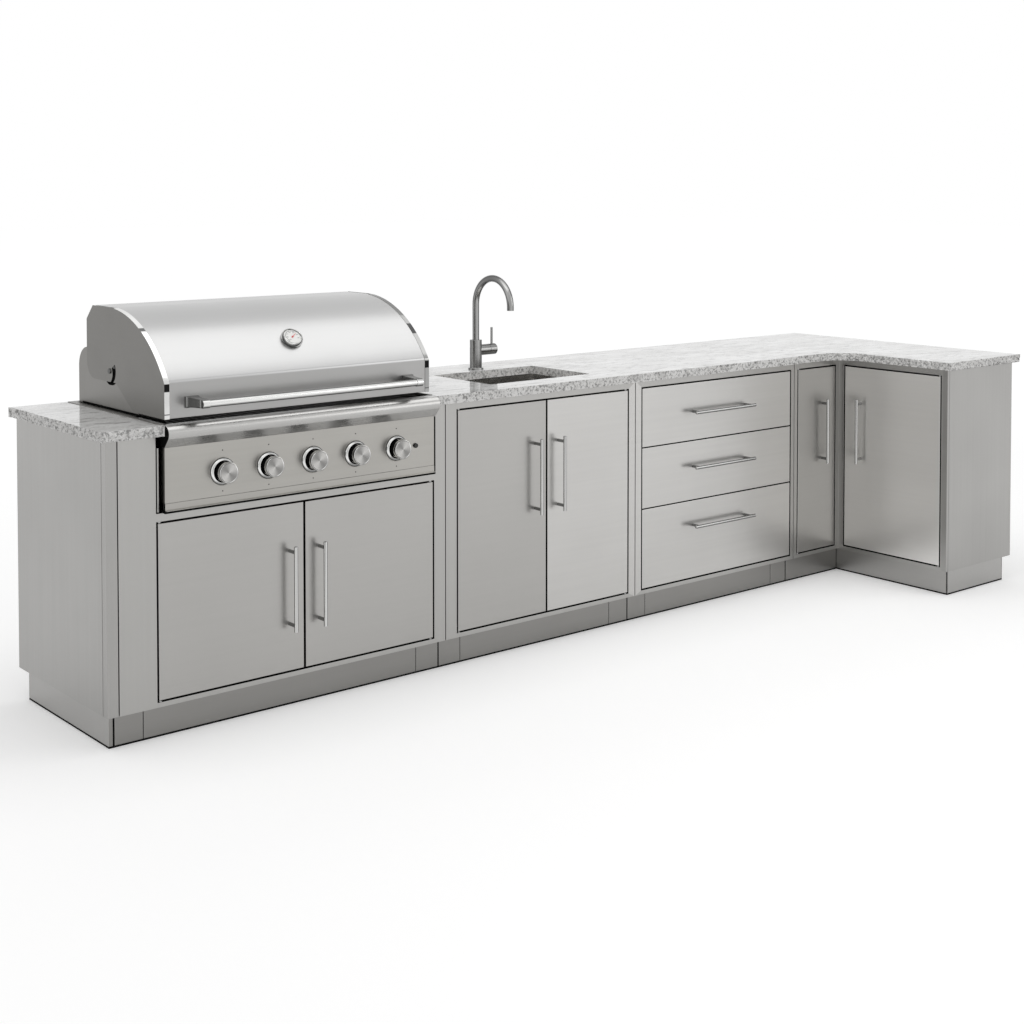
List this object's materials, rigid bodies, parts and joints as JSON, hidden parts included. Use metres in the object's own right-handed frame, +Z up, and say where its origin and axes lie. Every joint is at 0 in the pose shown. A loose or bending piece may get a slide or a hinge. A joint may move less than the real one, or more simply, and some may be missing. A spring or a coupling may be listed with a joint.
{
  "type": "outdoor kitchen island",
  "caption": "L-shaped stainless outdoor kitchen island with granite worktop, built-in gas grill under a roll-top hood, undermount sink with gooseneck tap, drawers and cupboards",
  "frame": {"origin": "middle of the footprint box, on the floor", "axes": "+X along the run towards the return leg, +Y towards the back, +Z up"},
  "size_m": [3.71, 1.167, 1.2674],
  "materials": {
    "carcass_steel": "brushed stainless sheet, horizontal grain",
    "door_steel": "brushed stainless fronts, vertical grain",
    "hood_steel": "fine brushed stainless, grain along the hood",
    "polished_steel": "polished stainless",
    "handle_steel": "satin stainless bar",
    "chrome": "bright chrome plate",
    "granite": "polished pale granite with grey veins, split edge",
    "sink_steel": "satin stainless bowl",
    "burner_steel": "plain stainless, heat tinted",
    "grate_iron": "seasoned cooking rods",
    "manifold_metal": "plain cast and drawn",
    "foot_plastic": "black moulded",
    "slide_steel": "zinc plated",
    "pin_steel": "turned stainless",
    "needle_red": "red pointer",
    "waste_brass": "plated brass"
  },
  "bodies": {
    "root": {"burners": "burner_steel", "control_panel": "carcass_steel", "cooking_grates": "grate_iron", "corner_cabinet": "carcass_steel", "countertop_corner": "granite", "countertop_drawers": "granite", "countertop_left": "granite", "countertop_sink": "granite", "drawer_cabinet": "carcass_steel", "drawer_slide_rails": "slide_steel", "end_panels": "carcass_steel", "faucet_body": "chrome", "firebox": "burner_steel", "front_rail": "polished_steel", "gas_manifold": "manifold_metal", "grill_cabinet": "carcass_steel", "grill_housing": "carcass_steel", "heat_tents": "burner_steel", "knob_bezels": "chrome", "levelling_feet": "foot_plastic", "pivot_pins": "pin_steel", "plinth_panels": "carcass_steel", "sink_bowl": "sink_steel", "sink_cabinet": "carcass_steel", "sink_waste": "waste_brass"},
    "hood": {"hood_shell": "hood_steel", "hood_trim_bands": "polished_steel", "hood_handle": "polished_steel", "thermometer_case": "chrome"},
    "dial_needle": {"thermometer_needle": "needle_red"},
    "igniter": {"igniter_button": "chrome"},
    "tray": {"drip_tray": "carcass_steel"},
    "grill_leaf_left": {"grill_door_left": "door_steel", "grill_handle_left": "handle_steel"},
    "grill_leaf_right": {"grill_door_right": "door_steel", "grill_handle_right": "handle_steel"},
    "sink_leaf_left": {"sink_door_left": "door_steel", "sink_handle_left": "handle_steel"},
    "sink_leaf_right": {"sink_door_right": "door_steel", "sink_handle_right": "handle_steel"},
    "narrow_leaf": {"narrow_corner_door": "door_steel", "narrow_corner_handle": "handle_steel"},
    "return_leaf": {"return_door": "door_steel", "return_handle": "handle_steel"},
    "top_drawer": {"drawer_top": "door_steel", "drawer_handle_top": "handle_steel"},
    "middle_drawer": {"drawer_middle": "door_steel", "drawer_handle_middle": "handle_steel"},
    "bottom_drawer": {"drawer_bottom": "door_steel", "drawer_handle_bottom": "handle_steel"},
    "spout": {"faucet_spout": "chrome"},
    "tap_cap": {"mixer_cap": "chrome"},
    "tap_lever": {"mixer_lever": "chrome"},
    "burner_knob_1": {"knob_1": "chrome"},
    "burner_knob_2": {"knob_2": "chrome"},
    "burner_knob_3": {"knob_3": "chrome"},
    "burner_knob_4": {"knob_4": "chrome"},
    "burner_knob_5": {"knob_5": "chrome"}
  },
  "joints": [
    {"name": "hood_lift", "type": "hinge", "parent": "root", "child": "hood", "pos_m": [-1.17, 0.3235, 1.034], "axis": [-1, 0, 0], "range_deg": [0, 80]},
    {"name": "needle_turn", "type": "hinge", "parent": "hood", "child": "dial_needle", "pos_m": [-1.17, 0.0491, 1.12109], "axis": [0, 0.6652, -0.7466], "range_deg": [-185, 80]},
    {"name": "knob_turn_1", "type": "hinge", "parent": "root", "child": "burner_knob_1", "pos_m": [-1.47202, -0.0865, 0.762], "axis": [0, -1, 0], "range_deg": [0, 270]},
    {"name": "knob_turn_2", "type": "hinge", "parent": "root", "child": "burner_knob_2", "pos_m": [-1.31601, -0.0865, 0.762], "axis": [0, -1, 0], "range_deg": [0, 270]},
    {"name": "knob_turn_3", "type": "hinge", "parent": "root", "child": "burner_knob_3", "pos_m": [-1.16, -0.0865, 0.762], "axis": [0, -1, 0], "range_deg": [0, 270]},
    {"name": "knob_turn_4", "type": "hinge", "parent": "root", "child": "burner_knob_4", "pos_m": [-1.00399, -0.0865, 0.762], "axis": [0, -1, 0], "range_deg": [0, 270]},
    {"name": "knob_turn_5", "type": "hinge", "parent": "root", "child": "burner_knob_5", "pos_m": [-0.84798, -0.0865, 0.762], "axis": [0, -1, 0], "range_deg": [0, 270]},
    {"name": "igniter_press", "type": "slide", "parent": "root", "child": "igniter", "axis": [0, 1, 0], "range_m": [0, 0.003], "stiffness_N_per_m": 500},
    {"name": "tray_slide", "type": "slide", "parent": "root", "child": "tray", "axis": [0, -1, 0], "range_m": [0, 0.3]},
    {"name": "grill_door_left_swing", "type": "hinge", "parent": "root", "child": "grill_leaf_left", "pos_m": [-1.664, -0.0285, 0.375], "axis": [0, 0, -1], "range_deg": [0, 90]},
    {"name": "grill_door_right_swing", "type": "hinge", "parent": "root", "child": "grill_leaf_right", "pos_m": [-0.695, -0.0285, 0.375], "axis": [0, 0, 1], "range_deg": [0, 90]},
    {"name": "sink_door_left_swing", "type": "hinge", "parent": "root", "child": "sink_leaf_left", "pos_m": [-0.578, -0.0285, 0.487], "axis": [0, 0, -1], "range_deg": [0, 90]},
    {"name": "sink_door_right_swing", "type": "hinge", "parent": "root", "child": "sink_leaf_right", "pos_m": [0.186, -0.0285, 0.487], "axis": [0, 0, 1], "range_deg": [0, 90]},
    {"name": "narrow_door_swing", "type": "hinge", "parent": "root", "child": "narrow_leaf", "pos_m": [1.144, -0.0285, 0.487], "axis": [0, 0, -1], "range_deg": [0, 90]},
    {"name": "return_door_swing", "type": "hinge", "parent": "root", "child": "return_leaf", "pos_m": [1.402, -0.5185, 0.487], "axis": [0, 0, 1], "range_deg": [0, 90]},
    {"name": "drawer_top_slide", "type": "slide", "parent": "root", "child": "top_drawer", "axis": [0, -1, 0], "range_m": [0, 0.4]},
    {"name": "drawer_middle_slide", "type": "slide", "parent": "root", "child": "middle_drawer", "axis": [0, -1, 0], "range_m": [0, 0.4]},
    {"name": "drawer_bottom_slide", "type": "slide", "parent": "root", "child": "bottom_drawer", "axis": [0, -1, 0], "range_m": [0, 0.4]},
    {"name": "spout_swivel", "type": "hinge", "parent": "root", "child": "spout", "pos_m": [-0.135, 0.4335, 1.023], "axis": [0, 0, 1], "range_deg": [-90, 90]},
    {"name": "mixer_turn", "type": "hinge", "parent": "root", "child": "tap_cap", "pos_m": [-0.06, 0.4335, 0.984], "axis": [1, 0, 0], "range_deg": [-45, 45]},
    {"name": "lever_tilt", "type": "hinge", "parent": "tap_cap", "child": "tap_lever", "pos_m": [-0.06, 0.4335, 0.984], "axis": [0, 1, 0], "range_deg": [0, 15]}
  ]
}
